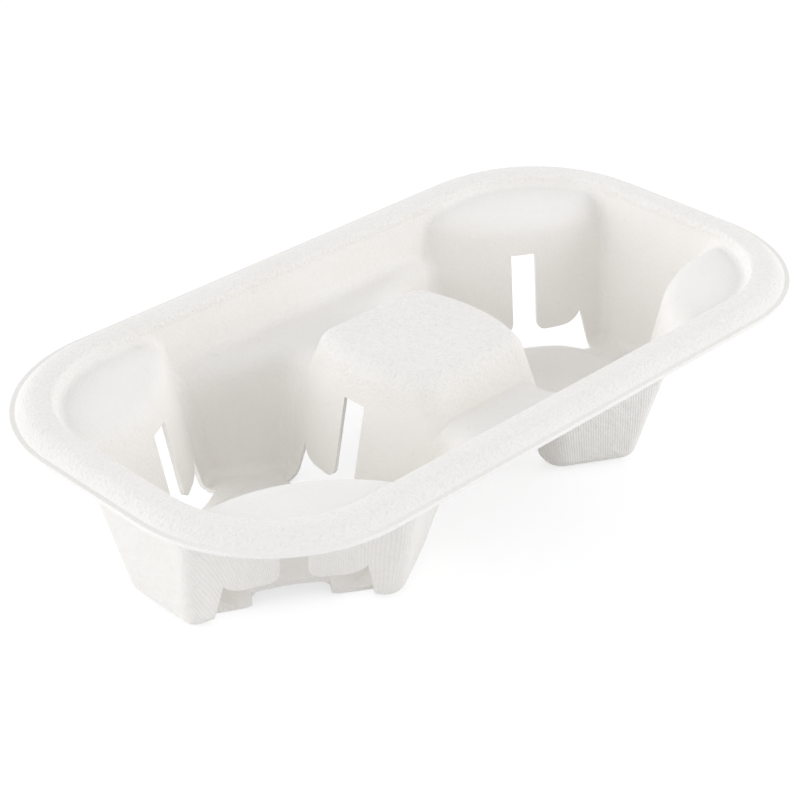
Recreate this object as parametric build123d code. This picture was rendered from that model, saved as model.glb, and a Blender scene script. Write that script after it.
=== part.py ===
from build123d import *
import math
import os

# Two-cup carrier tray, one shell of moulded fibre. Millimetres.
# The origin is on the table under the middle of the tray, +X along its length, +Z up.

# Outline and height
LENGTH = 220.0
WIDTH = 120.0
CORNER_RADIUS = 42.0
LIP_HEIGHT = 43.0
WALL = 1.2

# Rolled rim: a flat lip outside, then a rounded bead
LIP_THICK = 1.1
LIP_FLAT = 1.3
BEAD_RISE = 4.1
BEAD_INSET = 6.8
BEAD_LEAN = 42.0

# Basin inside the rim
BASIN_INSET = 11.5
WALL_DRAFT = 10.5
LEDGE_RISE = 0.4
LEDGE_ROOT = 2.7

# Cup wells: three pads round each well leave three lobes between them
WELL_X = 54.2
LOBE_REACH = 36.3
LOBE_CORNER = 4.0
PAD_NEAR_LOW = 23.3
PAD_NEAR_HIGH = 31.6
PAD_RADIUS_LOW = 75.0
PAD_RADIUS_HIGH = 45.0
PAD_EDGE = 7.0

# Divider between the wells: a bench at each side and a hump in the middle
BENCH_DROP = 10.3
BENCH_NEAR = 25.5
BENCH_SLANT = 22.0
BENCH_EDGE = 7.0
BENCH_CORNER = 5.0
HUMP_RISE = 1.0
HUMP_TOP_HALF = 19.5
HUMP_FOOT_HALF = 24.5
HUMP_EDGE = 6.0
HUMP_CORNER = 6.0

# Raised floor under each cup, so that the tray stands on the lobes
SEAT_RADIUS = 20.0
SEAT_CROWN = 1.3
CROWN_RUN = 3.7
STEP_RISE = 1.4
STEP_RUN = 0.7
SKIRT_RISE = 1.9
SKIRT_RUN = 2.4

# Anchor-shaped cut-out through each pad
CUT_NEAR = 21.5
CUT_STEP = 1.7
CUT_STEP_HALF = 10.2
CUT_DEPTH = 9.0
SHAFT_WIDE = 7.4
SHAFT_TOP = 32.3
BAR_TOP = 8.8
BAR_FLAT = 11.5
BAR_HALF = 20.9
SPIKE_AT = 18.2
SPIKE_TOP = 12.2
SPIKE_LEAN = 55.0
CUT_CORNER = 2.8

# Spare length that a tool runs past the shape it trims
SPARE = 6.0
TINY = 0.01

PAD_TURN = 60.0
FLOOR_EDGE = 0.75 * LOBE_CORNER
LEDGE_Z = LIP_HEIGHT + LEDGE_RISE
ROOT_TURN = math.radians(45 - WALL_DRAFT / 2)
JOIN_Z = LEDGE_Z + LEDGE_ROOT * math.tan(ROOT_TURN) * math.cos(math.radians(WALL_DRAFT))
HUMP_Z = LIP_HEIGHT + HUMP_RISE
BENCH_Z = LIP_HEIGHT - BENCH_DROP
BASIN_TOP = JOIN_Z + 2 * SPARE
WALL_SLOPE = math.tan(math.radians(WALL_DRAFT))


def box_between(x0, x1, y0, y1, z0, z1):
    return Pos((x0 + x1) / 2, (y0 + y1) / 2, (z0 + z1) / 2) * Box(x1 - x0, y1 - y0, z1 - z0)


# The tray is the same in each quarter, so the quarter with positive X and Y is made and mirrored.
QUARTER = box_between(0, LENGTH / 2, 0, WIDTH / 2, -SPARE, BASIN_TOP)
# The divider is drawn well past the tray's side, and trimmed by the basin.
ARM_FAR = LENGTH
ARM_QUARTER = box_between(0, LENGTH / 2, 0, ARM_FAR, -SPARE, BASIN_TOP)


def climb(edge):
    return abs((edge @ 0).Z - (edge @ 1).Z)


def off_mirrors(edge, far=WIDTH / 2):
    middle = edge @ 0.5
    return TINY < middle.X < LENGTH / 2 - TINY and TINY < middle.Y < far - TINY


def at_height(edge, z):
    return abs((edge @ 0).Z - z) < TINY and abs((edge @ 1).Z - z) < TINY


def rising_from(form, z):
    """Edges that climb from height z, away from the mirror planes."""
    feet = [e for e in form.edges() if abs(min((e @ 0).Z, (e @ 1).Z) - z) < TINY]
    return [e for e in feet if climb(e) > WALL and off_mirrors(e)]


# Every form below is made twice, once for the inside surface with grow 0
# and once for the outside surface, a wall thickness away.


def pad_ring(well, angle, z, grow):
    share = z / LEDGE_Z
    near = PAD_NEAR_LOW + (PAD_NEAR_HIGH - PAD_NEAR_LOW) * share
    radius = PAD_RADIUS_LOW + (PAD_RADIUS_HIGH - PAD_RADIUS_LOW) * share
    away = Pos(well, 0, z) * Rot(0, 0, angle) * Pos(near + radius, 0, 0)
    return away * Circle(radius - grow)


def pad(well, angle, top, grow):
    return loft([pad_ring(well, angle, -SPARE, grow), pad_ring(well, angle, top, grow)])


def corner_pad(grow):
    body = pad(WELL_X, PAD_TURN, LEDGE_Z - grow, grow)
    return fillet(body.edges().sort_by(Axis.Z)[-1], PAD_EDGE - grow)


def lens(top, grow):
    """The two pads that face each other across the middle, cut to the part they share."""
    return pad(WELL_X, 180, top, grow) & pad(-WELL_X, 0, top, grow)


def basin(grow):
    wide = (BASIN_TOP - LIP_HEIGHT) * WALL_SLOPE - BASIN_INSET + grow
    outline = RectangleRounded(LENGTH + 2 * wide, WIDTH + 2 * wide, CORNER_RADIUS + wide)
    return extrude(Pos(0, 0, BASIN_TOP) * outline, amount=WALL - grow - BASIN_TOP, taper=WALL_DRAFT)


def wedge_face(z, apex, angle):
    far = 3 * ARM_FAR
    rise = far * math.tan(math.radians(angle))
    return Pos(0, 0, z) * make_face(Polyline((0, apex), (far, apex + rise), (-far, apex + rise), close=True))


def wedge(grow):
    """The arm of the divider, with the end walls of the two lobes beside it."""
    turn = math.radians(PAD_TURN / 2)
    low = (LOBE_REACH + grow - WELL_X * math.sin(turn)) / math.cos(turn)
    high = BENCH_NEAR + grow / math.cos(math.radians(BENCH_SLANT))
    return loft([wedge_face(0, low, PAD_TURN / 2), wedge_face(BENCH_Z - grow, high, BENCH_SLANT)], ruled=True)


def divider(grow):
    top = BENCH_Z - grow
    block = (wedge(grow) + lens(top, grow)) & ARM_QUARTER
    inner = [e for e in block.edges() if climb(e) > top / 2 and off_mirrors(e, ARM_FAR)]
    block = fillet(inner, BENCH_CORNER + grow)
    upper = [e for e in block.edges() if abs((e @ 0.5).Z - top) < TINY and off_mirrors(e, ARM_FAR)]
    return fillet(upper, BENCH_EDGE - grow)


def hump(grow):
    top = HUMP_Z - grow
    low = BENCH_Z - BENCH_EDGE - WALL / 2
    half_top = HUMP_TOP_HALF - grow
    lean = (HUMP_FOOT_HALF - HUMP_TOP_HALF) / (HUMP_Z - BENCH_Z)
    side = Polyline((0, low), (half_top + lean * (top - low), low), (half_top, top), (0, top), close=True)
    form = extrude(Plane.YZ * make_face(side), amount=LENGTH / 2) & lens(top, grow) & QUARTER
    upright = [e for e in form.edges() if climb(e) > (top - low) / 2 and off_mirrors(e)]
    form = fillet(upright, HUMP_CORNER - grow)
    upper = [e for e in form.edges() if abs((e @ 0.5).Z - top) < TINY and off_mirrors(e)]
    return fillet(upper, HUMP_EDGE - grow)


def seat(grow):
    """The raised floor of a well, a low stepped mound."""
    base = WALL - grow
    top_edge = SEAT_RADIUS - grow / 2
    step_top = top_edge + CROWN_RUN
    step_foot = step_top + STEP_RUN
    skirt = step_foot + SKIRT_RUN
    side = Polyline(
        (0, -SPARE),
        (skirt, -SPARE),
        (skirt, base),
        (step_foot, base + SKIRT_RISE),
        (step_top, base + SKIRT_RISE + STEP_RISE),
        (top_edge, base + SKIRT_RISE + STEP_RISE + SEAT_CROWN),
        (0, base + SKIRT_RISE + STEP_RISE + SEAT_CROWN),
        close=True,
    )
    return Pos(WELL_X, 0, 0) * revolve(Plane.XZ * make_face(side), Axis.Z)


def cavity(grow):
    floor = WALL - grow
    form = (basin(grow) & QUARTER) - corner_pad(grow)
    form = fillet(rising_from(form, floor), LEDGE_ROOT + grow)
    block = divider(grow)
    cut = form - block
    arm = [e for e in new_edges(form, block, combined=cut) if climb(e) > BENCH_Z / 2 and off_mirrors(e)]
    form = fillet(arm, LOBE_CORNER + grow) - hump(grow)
    bottom = [e for e in form.edges() if at_height(e, floor) and (e @ 0.5).Y > TINY]
    form = fillet(bottom, FLOOR_EDGE + grow) - seat(grow)
    return form & box_between(0, LENGTH, 0, WIDTH, -SPARE, JOIN_Z)


def rim_section():
    half = WIDTH / 2
    crest = LIP_HEIGHT + BEAD_RISE
    lip_top = LIP_HEIGHT + LIP_THICK
    inner = half - BASIN_INSET + (JOIN_Z - LIP_HEIGHT) * WALL_SLOPE
    lean = math.radians(BEAD_LEAN)
    up = (-math.cos(lean), math.sin(lean))
    lip = Polyline(
        (half - LIP_FLAT - WALL, LIP_HEIGHT),
        (half, LIP_HEIGHT),
        (half, lip_top),
        (half - LIP_FLAT, lip_top),
    )
    rise = Spline((half - LIP_FLAT, lip_top), (half - BEAD_INSET, crest), tangents=(up, (-1, 0)))
    fall = Spline((half - BEAD_INSET, crest), (inner, JOIN_Z), tangents=((-1, 0), (-WALL_SLOPE, -1)))
    foot = Line((inner, JOIN_Z), (inner + WALL, JOIN_Z))
    under = Spline(
        (inner + WALL, JOIN_Z),
        (half - BEAD_INSET, crest - WALL),
        tangents=((WALL_SLOPE, 1), (1, 0)),
    )
    back = Spline(
        (half - BEAD_INSET, crest - WALL),
        (half - LIP_FLAT - WALL, LIP_HEIGHT),
        tangents=((1, 0), (-up[0], -up[1])),
    )
    return Plane.YZ * make_face([lip, rise, fall, foot, under, back])


def rim():
    straight = LENGTH / 2 - CORNER_RADIUS
    side = WIDTH / 2 - CORNER_RADIUS
    path = Line((0, WIDTH / 2), (straight, WIDTH / 2))
    path += RadiusArc((straight, WIDTH / 2), (LENGTH / 2, side), CORNER_RADIUS)
    path += Line((LENGTH / 2, side), (LENGTH / 2, 0))
    return sweep(rim_section(), path=path)


def anchor(angle):
    """The cut-out of one pad: an upright shaft on a bar with turned-up ends."""
    lean = math.radians(SPIKE_LEAN)
    edge = [
        Line((0, -SPARE), (0, BAR_TOP)),
        Line((0, BAR_TOP), (BAR_FLAT, BAR_TOP)),
        Spline((BAR_FLAT, BAR_TOP), (SPIKE_AT, SPIKE_TOP), tangents=((1, 0), (math.cos(lean), math.sin(lean)))),
        Line((SPIKE_AT, SPIKE_TOP), (BAR_HALF, 0)),
        Line((BAR_HALF, 0), (BAR_HALF, -SPARE)),
        Line((BAR_HALF, -SPARE), (0, -SPARE)),
    ]
    arm = make_face(edge)
    shaft = Pos(0, (SHAFT_TOP + BAR_TOP / 2) / 2) * Rectangle(SHAFT_WIDE, SHAFT_TOP - BAR_TOP / 2)
    shape = arm + mirror(arm, about=Plane.YZ) + shaft
    nooks = [v for v in shape.vertices() if abs(v.Y - BAR_TOP) < TINY and abs(abs(v.X) - SHAFT_WIDE / 2) < TINY]
    shape = fillet(nooks, CUT_CORNER)
    tool = extrude(Plane.YZ * shape, amount=CUT_DEPTH)
    tool += box_between(-CUT_STEP, WALL, -CUT_STEP_HALF, CUT_STEP_HALF, -SPARE, BAR_TOP)
    return Pos(WELL_X, 0, 0) * Rot(0, 0, angle) * Pos(CUT_NEAR + CUT_STEP, 0, 0) * tool


quarter = cavity(WALL) - cavity(0)
quarter = quarter - anchor(PAD_TURN) - anchor(180)
quarter = quarter + rim()
half = quarter + mirror(quarter, about=Plane.YZ)
tray = half + mirror(half, about=Plane.XZ)

os.makedirs("parts", exist_ok=True)
export_step(tray, "parts/carrier_tray.step")
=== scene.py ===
import math

import bpy
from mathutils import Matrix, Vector


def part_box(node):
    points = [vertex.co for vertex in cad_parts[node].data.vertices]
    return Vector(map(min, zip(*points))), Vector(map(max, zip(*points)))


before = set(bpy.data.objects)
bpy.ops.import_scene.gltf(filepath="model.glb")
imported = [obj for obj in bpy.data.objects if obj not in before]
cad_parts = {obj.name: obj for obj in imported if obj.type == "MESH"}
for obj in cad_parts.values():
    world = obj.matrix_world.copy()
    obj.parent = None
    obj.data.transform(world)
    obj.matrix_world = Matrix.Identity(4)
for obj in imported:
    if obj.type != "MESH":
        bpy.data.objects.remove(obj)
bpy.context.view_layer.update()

# The tray's box from its mesh in model.glb, then places on the tray in metres, as the part's source
# has them
TRAY_LOW, TRAY_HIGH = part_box("carrier_tray")
HALF_LENGTH = TRAY_HIGH.x
WELL_X = 0.0542
BENCH_Z = 0.0327
HUMP_Z = 0.0440

# Heights where the screen's marks end, just under the lip, and where the rim's grain comes in
UNDER_LIP_Z = 0.0429
RIM_Z = 0.0440
RIM_BLEND = 0.0010

# Half the length and width of a box that holds the hump between the wells
HUMP_HALF_X = 0.030
HUMP_HALF_Y = 0.027

# The photograph's view: where the camera stands, and the point it looks at
CAMERA_AZIMUTH = -44.79
CAMERA_ELEVATION = 31.088
CAMERA_DISTANCE = 0.51875
CAMERA_TARGET = (-0.02795, -0.0203, 0.043)
CAMERA_NEAR = 0.01
SENSOR_WIDTH = 36.0
LENS = 92.89

# Colours and gloss of the moulded fibre, and a darker colour painted into its pits and grooves as
# shade
FIBRE_WHITE = (0.892, 0.868, 0.830, 1.0)
FIBRE_CREAM = (0.880, 0.852, 0.808, 1.0)
FIBRE_FLECK = (0.74, 0.715, 0.67, 1.0)
# Painted shade: the darker colour laid into the pits and grooves, where shade falls in the fine relief
FIBRE_PAINTED_SHADE = (0.80, 0.775, 0.735, 1.0)
FIBRE_ROUGHNESS = 0.82
FIBRE_SPECULAR = 0.25
FLECK_SHADE = 0.45
# How much of the painted shade the pits and grooves take
HOLLOW_PAINTED_SHADE = 0.6

# Patterns in the fibre: waves to the metre, layers of detail, and roughness
CLOUD_PATTERN = (60.0, 3.0, 0.5)
FLECK_PATTERN = (420.0, 2.0, 0.5)
PEBBLE_PATTERN = (1150.0, 2.0, 0.55)
STRAND_PATTERN = (420.0, 4.0, 0.6)
LUMP_PATTERN = (110.0, 2.0, 0.5)
BEND_PATTERN = (90.0, 2.0, 0.5)
DENT_PATTERN = (330.0, 2.0, 0.5)
GRAIN_PATTERN = (1300.0, 2.0, 0.6)

# Where in its range a pattern starts to show, and where it shows in full
CLOUD_RANGE = (0.35, 0.70)
FLECK_RANGE = (0.70, 0.78)
# Painted shade: the pit range masks where the pebbles' pits are darkened in the colour
PIT_PAINTED_SHADE_RANGE = (0.50, 0.25)
# Painted shade: the groove range masks where the screen's grooves are darkened in the colour
GROOVE_PAINTED_SHADE_RANGE = (0.3, -1.3)

# Depth of the surface relief in metres, and how much of it each place and each pattern takes
RELIEF = 0.0005
WALL_GRAIN = 0.3
HUMP_GRAIN = 0.75
RIM_GRAIN = 0.45
STRAND_SHARE = 0.5
LUMP_SHARE = 0.5
DENT_SHARE = 1.1
SCREEN_GRAIN = 0.3
SCREEN_DEPTH = 0.06
WEFT_SHARE = 0.6

# Ribs of the forming screen: pitch and wobble in metres, and lean as a slope. The pitch is true
# at this reach from the middle of a well
SCREEN_PITCH = 0.0007
SCREEN_WOBBLE = 0.0030
SCREEN_LEAN = 0.15
WELL_REACH = 0.040

# The most that a face looks up and still counts as an outer wall, as leaning down, or as beneath
WALL_FACING = 0.3
LEANING_DOWN = -0.3
BENEATH = -0.7

# Knots of fibre: their size, the distance between them, and their height
SLUB_SIZE = 0.0007
SLUB_SPACING = 0.019
SLUB_RISE = 0.35

# Daylight white of the lamps and the room, and the pure white that the camera sees behind the tray
LIGHT_WHITE = (0.982, 1.0, 1.030)
PURE_WHITE = (1.0, 1.0, 1.0, 1.0)

# The room's four walls: which way each lies from the tray, and its brightness
DIAGONAL = 0.707
WALLS = {
    "camera_wall": ((-DIAGONAL, -DIAGONAL, 0.0), 0.80),
    "far_wall": ((DIAGONAL, DIAGONAL, 0.0), 1.25),
    "left_wall": ((-DIAGONAL, DIAGONAL, 0.0), 1.95),
    "right_wall": ((DIAGONAL, -DIAGONAL, 0.0), 1.10),
}

# The ceiling: its brightness, and how far up the walls start to turn into it and are all ceiling
CEILING_LIGHT = 0.65
CEILING_START = 0.2
CEILING_FULL = 0.95

# The lamps: place in metres and power in watts
LAMPS = {
    "left_lamp": ((-1.0, 0.35, 0.5), 1.7),
    "right_lamp": ((0.75, -0.85, 0.45), 3.8),
}
LAMP_AIM = (0, 0, 0.02)
LAMP_SIZE = 0.6

# The floor: its size, and a drop that keeps it clear of the feet
FLOOR_SIZE = 40 * HALF_LENGTH
FLOOR_DROP = 0.0002

# The floor's own white, and how the camera sees it: a light shadow near the tray, and pure white
# once it is far enough from the middle
FLOOR_WHITE = (0.93, 0.93, 0.93, 1.0)
FLOOR_SHADOW_SHARE = 0.40
FLOOR_GLOW = 0.68
FLOOR_NEAR = 0.25
FLOOR_FAR = 0.60


def shader_node(tree, kind, **settings):
    """Adds one node to a material or the world and sets its own properties."""
    node = tree.nodes.new(kind)
    for name, value in settings.items():
        setattr(node, name, value)
    return node


def math_node(tree, operation, first, second=None):
    """Adds a maths node fed by sockets or plain numbers, and returns its output."""
    node = shader_node(tree, "ShaderNodeMath", operation=operation)
    for slot, value in enumerate((first, second)):
        if value is None:
            continue
        if isinstance(value, bpy.types.NodeSocket):
            tree.links.new(value, node.inputs[slot])
        else:
            node.inputs[slot].default_value = value
    return node.outputs[0]


def plus(tree, first, second):
    """Adds two values."""
    return math_node(tree, "ADD", first, second)


def times(tree, first, second):
    """Multiplies two values."""
    return math_node(tree, "MULTIPLY", first, second)


def axes(tree, vector):
    """Splits a place or a direction into its x, y and z."""
    node = shader_node(tree, "ShaderNodeSeparateXYZ")
    tree.links.new(vector, node.inputs[0])
    return node.outputs


def facing(tree):
    """Which way the surface looks, as x, y and z."""
    return axes(tree, shader_node(tree, "ShaderNodeNewGeometry").outputs["Normal"])


def noise(tree, place, pattern):
    """Adds a noise pattern, given as waves to the metre, layers of detail, and roughness."""
    node = shader_node(tree, "ShaderNodeTexNoise")
    for name, value in zip(("Scale", "Detail", "Roughness"), pattern):
        node.inputs[name].default_value = value
    tree.links.new(place, node.inputs["Vector"])
    return node.outputs["Fac"]


def spread(tree, value, low, high, interpolation="LINEAR"):
    """Stretches the part of a value between low and high to 0 and 1."""
    node = shader_node(tree, "ShaderNodeMapRange", interpolation_type=interpolation)
    tree.links.new(value, node.inputs["Value"])
    node.inputs["From Min"].default_value = low
    node.inputs["From Max"].default_value = high
    return node.outputs["Result"]


def tint(tree, share, plain, tinted):
    """Mixes two colours, which may be sockets, by a share."""
    node = shader_node(tree, "ShaderNodeMix", data_type="RGBA")
    tree.links.new(share, node.inputs["Factor"])
    for slot, colour in ((6, plain), (7, tinted)):
        if isinstance(colour, bpy.types.NodeSocket):
            tree.links.new(colour, node.inputs[slot])
        else:
            node.inputs[slot].default_value = colour
    return node.outputs[2]


def blend(tree, share, first, second):
    """Goes from one number to another by a share."""
    node = shader_node(tree, "ShaderNodeMix", data_type="FLOAT")
    tree.links.new(share, node.inputs["Factor"])
    tree.links.new(first, node.inputs[2])
    tree.links.new(second, node.inputs[3])
    return node.outputs[0]


def mix_shader(tree, share, first, second):
    """Goes from one shader to another by a share."""
    node = shader_node(tree, "ShaderNodeMixShader")
    for slot, socket in enumerate((share, first, second)):
        tree.links.new(socket, node.inputs[slot])
    return node.outputs[0]


def from_well(tree, x):
    """How far a place lies along the tray from the middle of its own well."""
    well = times(tree, math_node(tree, "SIGN", x), WELL_X)
    return math_node(tree, "SUBTRACT", x, well)


def on_hump(tree, x, y, height_share):
    """Is 1 over the middle hump and 0 beside it, times a share that depends on the height."""
    near_x = math_node(tree, "LESS_THAN", math_node(tree, "ABSOLUTE", x), HUMP_HALF_X)
    near_y = math_node(tree, "LESS_THAN", math_node(tree, "ABSOLUTE", y), HUMP_HALF_Y)
    return times(tree, times(tree, near_x, near_y), height_share)


def screen_side(tree, place):
    """Is 1 on the outside and underside, where the forming screen left its mark, and 0 above."""
    x, y, z = axes(tree, place)
    looks_x, looks_y, looks_z = facing(tree)
    out_x = times(tree, from_well(tree, x), looks_x)
    out_y = times(tree, y, looks_y)
    outward = math_node(tree, "GREATER_THAN", plus(tree, out_x, out_y), 0.0)
    steep = math_node(tree, "LESS_THAN", looks_z, WALL_FACING)
    lowered = math_node(tree, "LESS_THAN", looks_z, LEANING_DOWN)
    on_wall = math_node(tree, "MAXIMUM", times(tree, outward, steep), lowered)
    high = math_node(tree, "GREATER_THAN", z, BENCH_Z)
    off_hump = math_node(tree, "SUBTRACT", 1.0, on_hump(tree, x, y, high))
    below_lip = math_node(tree, "LESS_THAN", z, UNDER_LIP_Z)
    return times(tree, times(tree, on_wall, off_hump), below_lip)


def ribs(tree, along):
    """Rounded ribs of the screen across a distance along the surface."""
    return math_node(tree, "SINE", times(tree, along, math.tau / SCREEN_PITCH))


def screen_marks(tree, place):
    """Fine ribs of the forming screen, round and down each well and straight beneath, with soft dents.

    Returns the height and the share of painted shade in the grooves.
    """
    x, y, z = axes(tree, place)
    turn = math_node(tree, "ARCTAN2", y, from_well(tree, x))
    beneath = math_node(tree, "LESS_THAN", facing(tree)[2], BENEATH)
    girth = blend(tree, beneath, times(tree, turn, WELL_REACH), x)
    bend = times(tree, noise(tree, place, BEND_PATTERN), SCREEN_WOBBLE)
    down = plus(tree, blend(tree, beneath, z, y), bend)
    warp = ribs(tree, plus(tree, girth, times(tree, down, SCREEN_LEAN)))
    weft = ribs(tree, math_node(tree, "SUBTRACT", down, times(tree, girth, SCREEN_LEAN)))
    weave = plus(tree, warp, times(tree, weft, WEFT_SHARE))
    dents = times(tree, noise(tree, place, DENT_PATTERN), DENT_SHARE)
    grain = times(tree, noise(tree, place, GRAIN_PATTERN), SCREEN_GRAIN)
    height = plus(tree, times(tree, weave, SCREEN_DEPTH), plus(tree, dents, grain))
    # Painted shade: the share by which the colour darkens in the screen's grooves
    return height, spread(tree, weave, *GROOVE_PAINTED_SHADE_RANGE)


def slubs(tree, place):
    """Small raised knots of fibre, scattered far apart."""
    cells = shader_node(tree, "ShaderNodeTexVoronoi")
    cells.inputs["Scale"].default_value = 1.0 / SLUB_SPACING
    tree.links.new(place, cells.inputs["Vector"])
    knot = spread(tree, cells.outputs["Distance"], SLUB_SIZE / SLUB_SPACING, 0.0)
    return times(tree, knot, SLUB_RISE)


def air_side(tree, place):
    """Pebbled fibre, nearly plain on the walls and coarser on the rim and hump.

    Returns the height and the share of painted shade in the pits.
    """
    x, y, z = axes(tree, place)
    on_rim = times(tree, spread(tree, z, RIM_Z, RIM_Z + RIM_BLEND), RIM_GRAIN)
    hump_top = times(tree, on_hump(tree, x, y, spread(tree, z, BENCH_Z, HUMP_Z)), HUMP_GRAIN)
    share = plus(tree, plus(tree, hump_top, on_rim), WALL_GRAIN)
    pebble = noise(tree, place, PEBBLE_PATTERN)
    strands = times(tree, noise(tree, place, STRAND_PATTERN), STRAND_SHARE)
    lump = times(tree, noise(tree, place, LUMP_PATTERN), LUMP_SHARE)
    relief = plus(tree, times(tree, plus(tree, pebble, strands), share), lump)
    # Painted shade: how much the colour darkens in the pebbles' pits
    pit_painted_shade = times(tree, spread(tree, pebble, *PIT_PAINTED_SHADE_RANGE), share)
    return plus(tree, relief, slubs(tree, place)), pit_painted_shade


def moulded_fibre():
    """Off-white plant fibre: pebbled where the air dried it, and ribbed by the screen beneath, with
    painted shade darkening the colour in its pits and grooves.
    """
    material = bpy.data.materials.new("moulded_fibre")
    material.use_nodes = True
    tree = material.node_tree
    shader = tree.nodes["Principled BSDF"]
    place = shader_node(tree, "ShaderNodeTexCoord").outputs["Object"]
    screen = screen_side(tree, place)
    upper, pit_painted_shade = air_side(tree, place)
    lower, groove_painted_shade = screen_marks(tree, place)

    cloud = spread(tree, noise(tree, place, CLOUD_PATTERN), *CLOUD_RANGE)
    colour = tint(tree, cloud, FIBRE_WHITE, FIBRE_CREAM)
    fleck = spread(tree, noise(tree, place, FLECK_PATTERN), *FLECK_RANGE)
    colour = tint(tree, times(tree, fleck, FLECK_SHADE), colour, FIBRE_FLECK)
    # Painted shade: the colour darkens in the pits above and the grooves beneath, where shade falls in
    # the relief
    hollow_painted_shade = blend(tree, screen, pit_painted_shade, groove_painted_shade)
    colour = tint(tree, times(tree, hollow_painted_shade, HOLLOW_PAINTED_SHADE), colour, FIBRE_PAINTED_SHADE)
    tree.links.new(colour, shader.inputs["Base Color"])
    shader.inputs["Roughness"].default_value = FIBRE_ROUGHNESS
    shader.inputs["Specular IOR Level"].default_value = FIBRE_SPECULAR

    bump = shader_node(tree, "ShaderNodeBump")
    bump.inputs["Strength"].default_value = 1.0
    bump.inputs["Distance"].default_value = RELIEF
    tree.links.new(blend(tree, screen, upper, lower), bump.inputs["Height"])
    tree.links.new(bump.outputs["Normal"], shader.inputs["Normal"])
    return material


def looked_at(tree):
    """Is 1 where the camera looks, straight or by a mirror or through glass, and 0 for other light."""
    rays = shader_node(tree, "ShaderNodeLightPath").outputs
    seen = math_node(tree, "MAXIMUM", rays["Is Camera Ray"], rays["Is Glossy Ray"])
    return math_node(tree, "MAXIMUM", seen, rays["Is Transmission Ray"])


def floor_white():
    """White that keeps a light shadow near the tray and fades to pure white far from it."""
    material = bpy.data.materials.new("floor_white")
    material.use_nodes = True
    tree = material.node_tree
    tree.nodes.remove(tree.nodes["Principled BSDF"])
    white = shader_node(tree, "ShaderNodeBsdfDiffuse")
    white.inputs["Color"].default_value = FLOOR_WHITE
    faint = shader_node(tree, "ShaderNodeBsdfDiffuse")
    faint.inputs["Color"].default_value = (FLOOR_SHADOW_SHARE,) * 3 + (1.0,)
    glow = shader_node(tree, "ShaderNodeEmission")
    glow.inputs["Strength"].default_value = FLOOR_GLOW
    near = shader_node(tree, "ShaderNodeAddShader")
    tree.links.new(faint.outputs[0], near.inputs[0])
    tree.links.new(glow.outputs[0], near.inputs[1])
    away = shader_node(tree, "ShaderNodeVectorMath", operation="LENGTH")
    tree.links.new(shader_node(tree, "ShaderNodeTexCoord").outputs["Object"], away.inputs[0])
    far_share = spread(tree, away.outputs["Value"], FLOOR_NEAR, FLOOR_FAR)
    far = shader_node(tree, "ShaderNodeEmission")
    far.inputs["Color"].default_value = PURE_WHITE
    shown = mix_shader(tree, far_share, near.outputs[0], far.outputs[0])
    surface = mix_shader(tree, looked_at(tree), white.outputs[0], shown)
    tree.links.new(surface, tree.nodes["Material Output"].inputs["Surface"])
    return material


def white_floor():
    """A plain white table, wide enough to fill every view."""
    bpy.ops.object.select_all(action="DESELECT")
    bpy.ops.mesh.primitive_plane_add(size=FLOOR_SIZE, location=(0, 0, TRAY_LOW.z - FLOOR_DROP))
    floor = bpy.context.active_object
    floor.name = "floor"
    bpy.ops.object.transform_apply(location=True, rotation=True, scale=True)
    floor.data.materials.append(floor_white())


def soft_lamp(name, place, power):
    """A large square lamp at a place, turned towards the tray."""
    bpy.ops.object.light_add(type="AREA", location=place)
    lamp = bpy.context.active_object
    lamp.name = name
    lamp.data.shape = "SQUARE"
    lamp.data.size = LAMP_SIZE
    lamp.data.energy = power
    lamp.data.color = LIGHT_WHITE
    lamp.rotation_euler = (Vector(LAMP_AIM) - Vector(place)).to_track_quat("-Z", "Y").to_euler()


def wall_light(sky, level_direction, lies, strength):
    """The light of one wall: full straight towards it, and fading to none a quarter turn away."""
    towards = shader_node(sky, "ShaderNodeVectorMath", operation="DOT_PRODUCT")
    sky.links.new(level_direction, towards.inputs[0])
    towards.inputs[1].default_value = lies
    ahead = math_node(sky, "MAXIMUM", towards.outputs["Value"], 0.0)
    return times(sky, times(sky, ahead, ahead), strength)


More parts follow.
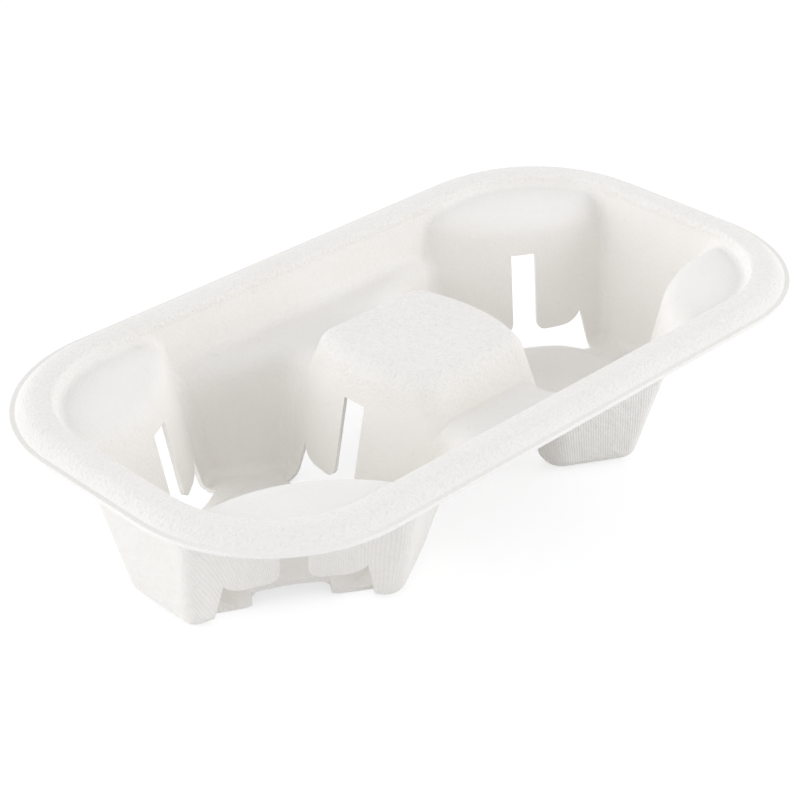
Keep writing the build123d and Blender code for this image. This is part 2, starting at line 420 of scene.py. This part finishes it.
def room_light(sky):
    """How bright the room is in each direction: the walls at the sides, and the ceiling above."""
    direction = shader_node(sky, "ShaderNodeTexCoord").outputs["Generated"]
    flat = shader_node(sky, "ShaderNodeVectorMath", operation="MULTIPLY")
    sky.links.new(direction, flat.inputs[0])
    flat.inputs[1].default_value = (1.0, 1.0, 0.0)
    level_direction = shader_node(sky, "ShaderNodeVectorMath", operation="NORMALIZE")
    sky.links.new(flat.outputs[0], level_direction.inputs[0])
    first, *others = [wall_light(sky, level_direction.outputs[0], *wall) for wall in WALLS.values()]
    walls = first
    for wall in others:
        walls = plus(sky, walls, wall)
    overhead = spread(sky, axes(sky, direction)[2], CEILING_START, CEILING_FULL, "SMOOTHSTEP")
    sides = times(sky, walls, math_node(sky, "SUBTRACT", 1.0, overhead))
    return plus(sky, sides, times(sky, overhead, CEILING_LIGHT))


def studio():
    """A white room with its own brightness on each side, and a soft lamp on the left and the right."""
    world = bpy.data.worlds.new("studio")
    bpy.context.scene.world = world
    world.use_nodes = True
    sky = world.node_tree
    room = sky.nodes["Background"]
    room.inputs["Color"].default_value = LIGHT_WHITE + (1.0,)
    sky.links.new(room_light(sky), room.inputs["Strength"])
    backdrop = shader_node(sky, "ShaderNodeBackground")
    backdrop.inputs["Color"].default_value = PURE_WHITE
    surface = mix_shader(sky, looked_at(sky), room.outputs[0], backdrop.outputs[0])
    sky.links.new(surface, sky.nodes["World Output"].inputs["Surface"])
    for name, (place, power) in LAMPS.items():
        soft_lamp(name, place, power)


def photo_camera():
    """The camera of the photograph."""
    turn = math.radians(CAMERA_AZIMUTH)
    tilt = math.radians(CAMERA_ELEVATION)
    back = Vector((math.sin(turn) * math.cos(tilt), -math.cos(turn) * math.cos(tilt), math.sin(tilt)))
    place = Vector(CAMERA_TARGET) + back * CAMERA_DISTANCE
    bpy.ops.object.camera_add(location=place, rotation=back.to_track_quat("Z", "Y").to_euler())
    camera = bpy.context.active_object
    camera.data.sensor_width = SENSOR_WIDTH
    camera.data.lens = LENS
    camera.data.clip_start = CAMERA_NEAR
    bpy.context.scene.camera = camera


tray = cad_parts["carrier_tray"]
tray.data.materials.clear()
tray.data.materials.append(moulded_fibre())
white_floor()
studio()
photo_camera()
bpy.context.scene.view_settings.view_transform = "Standard"
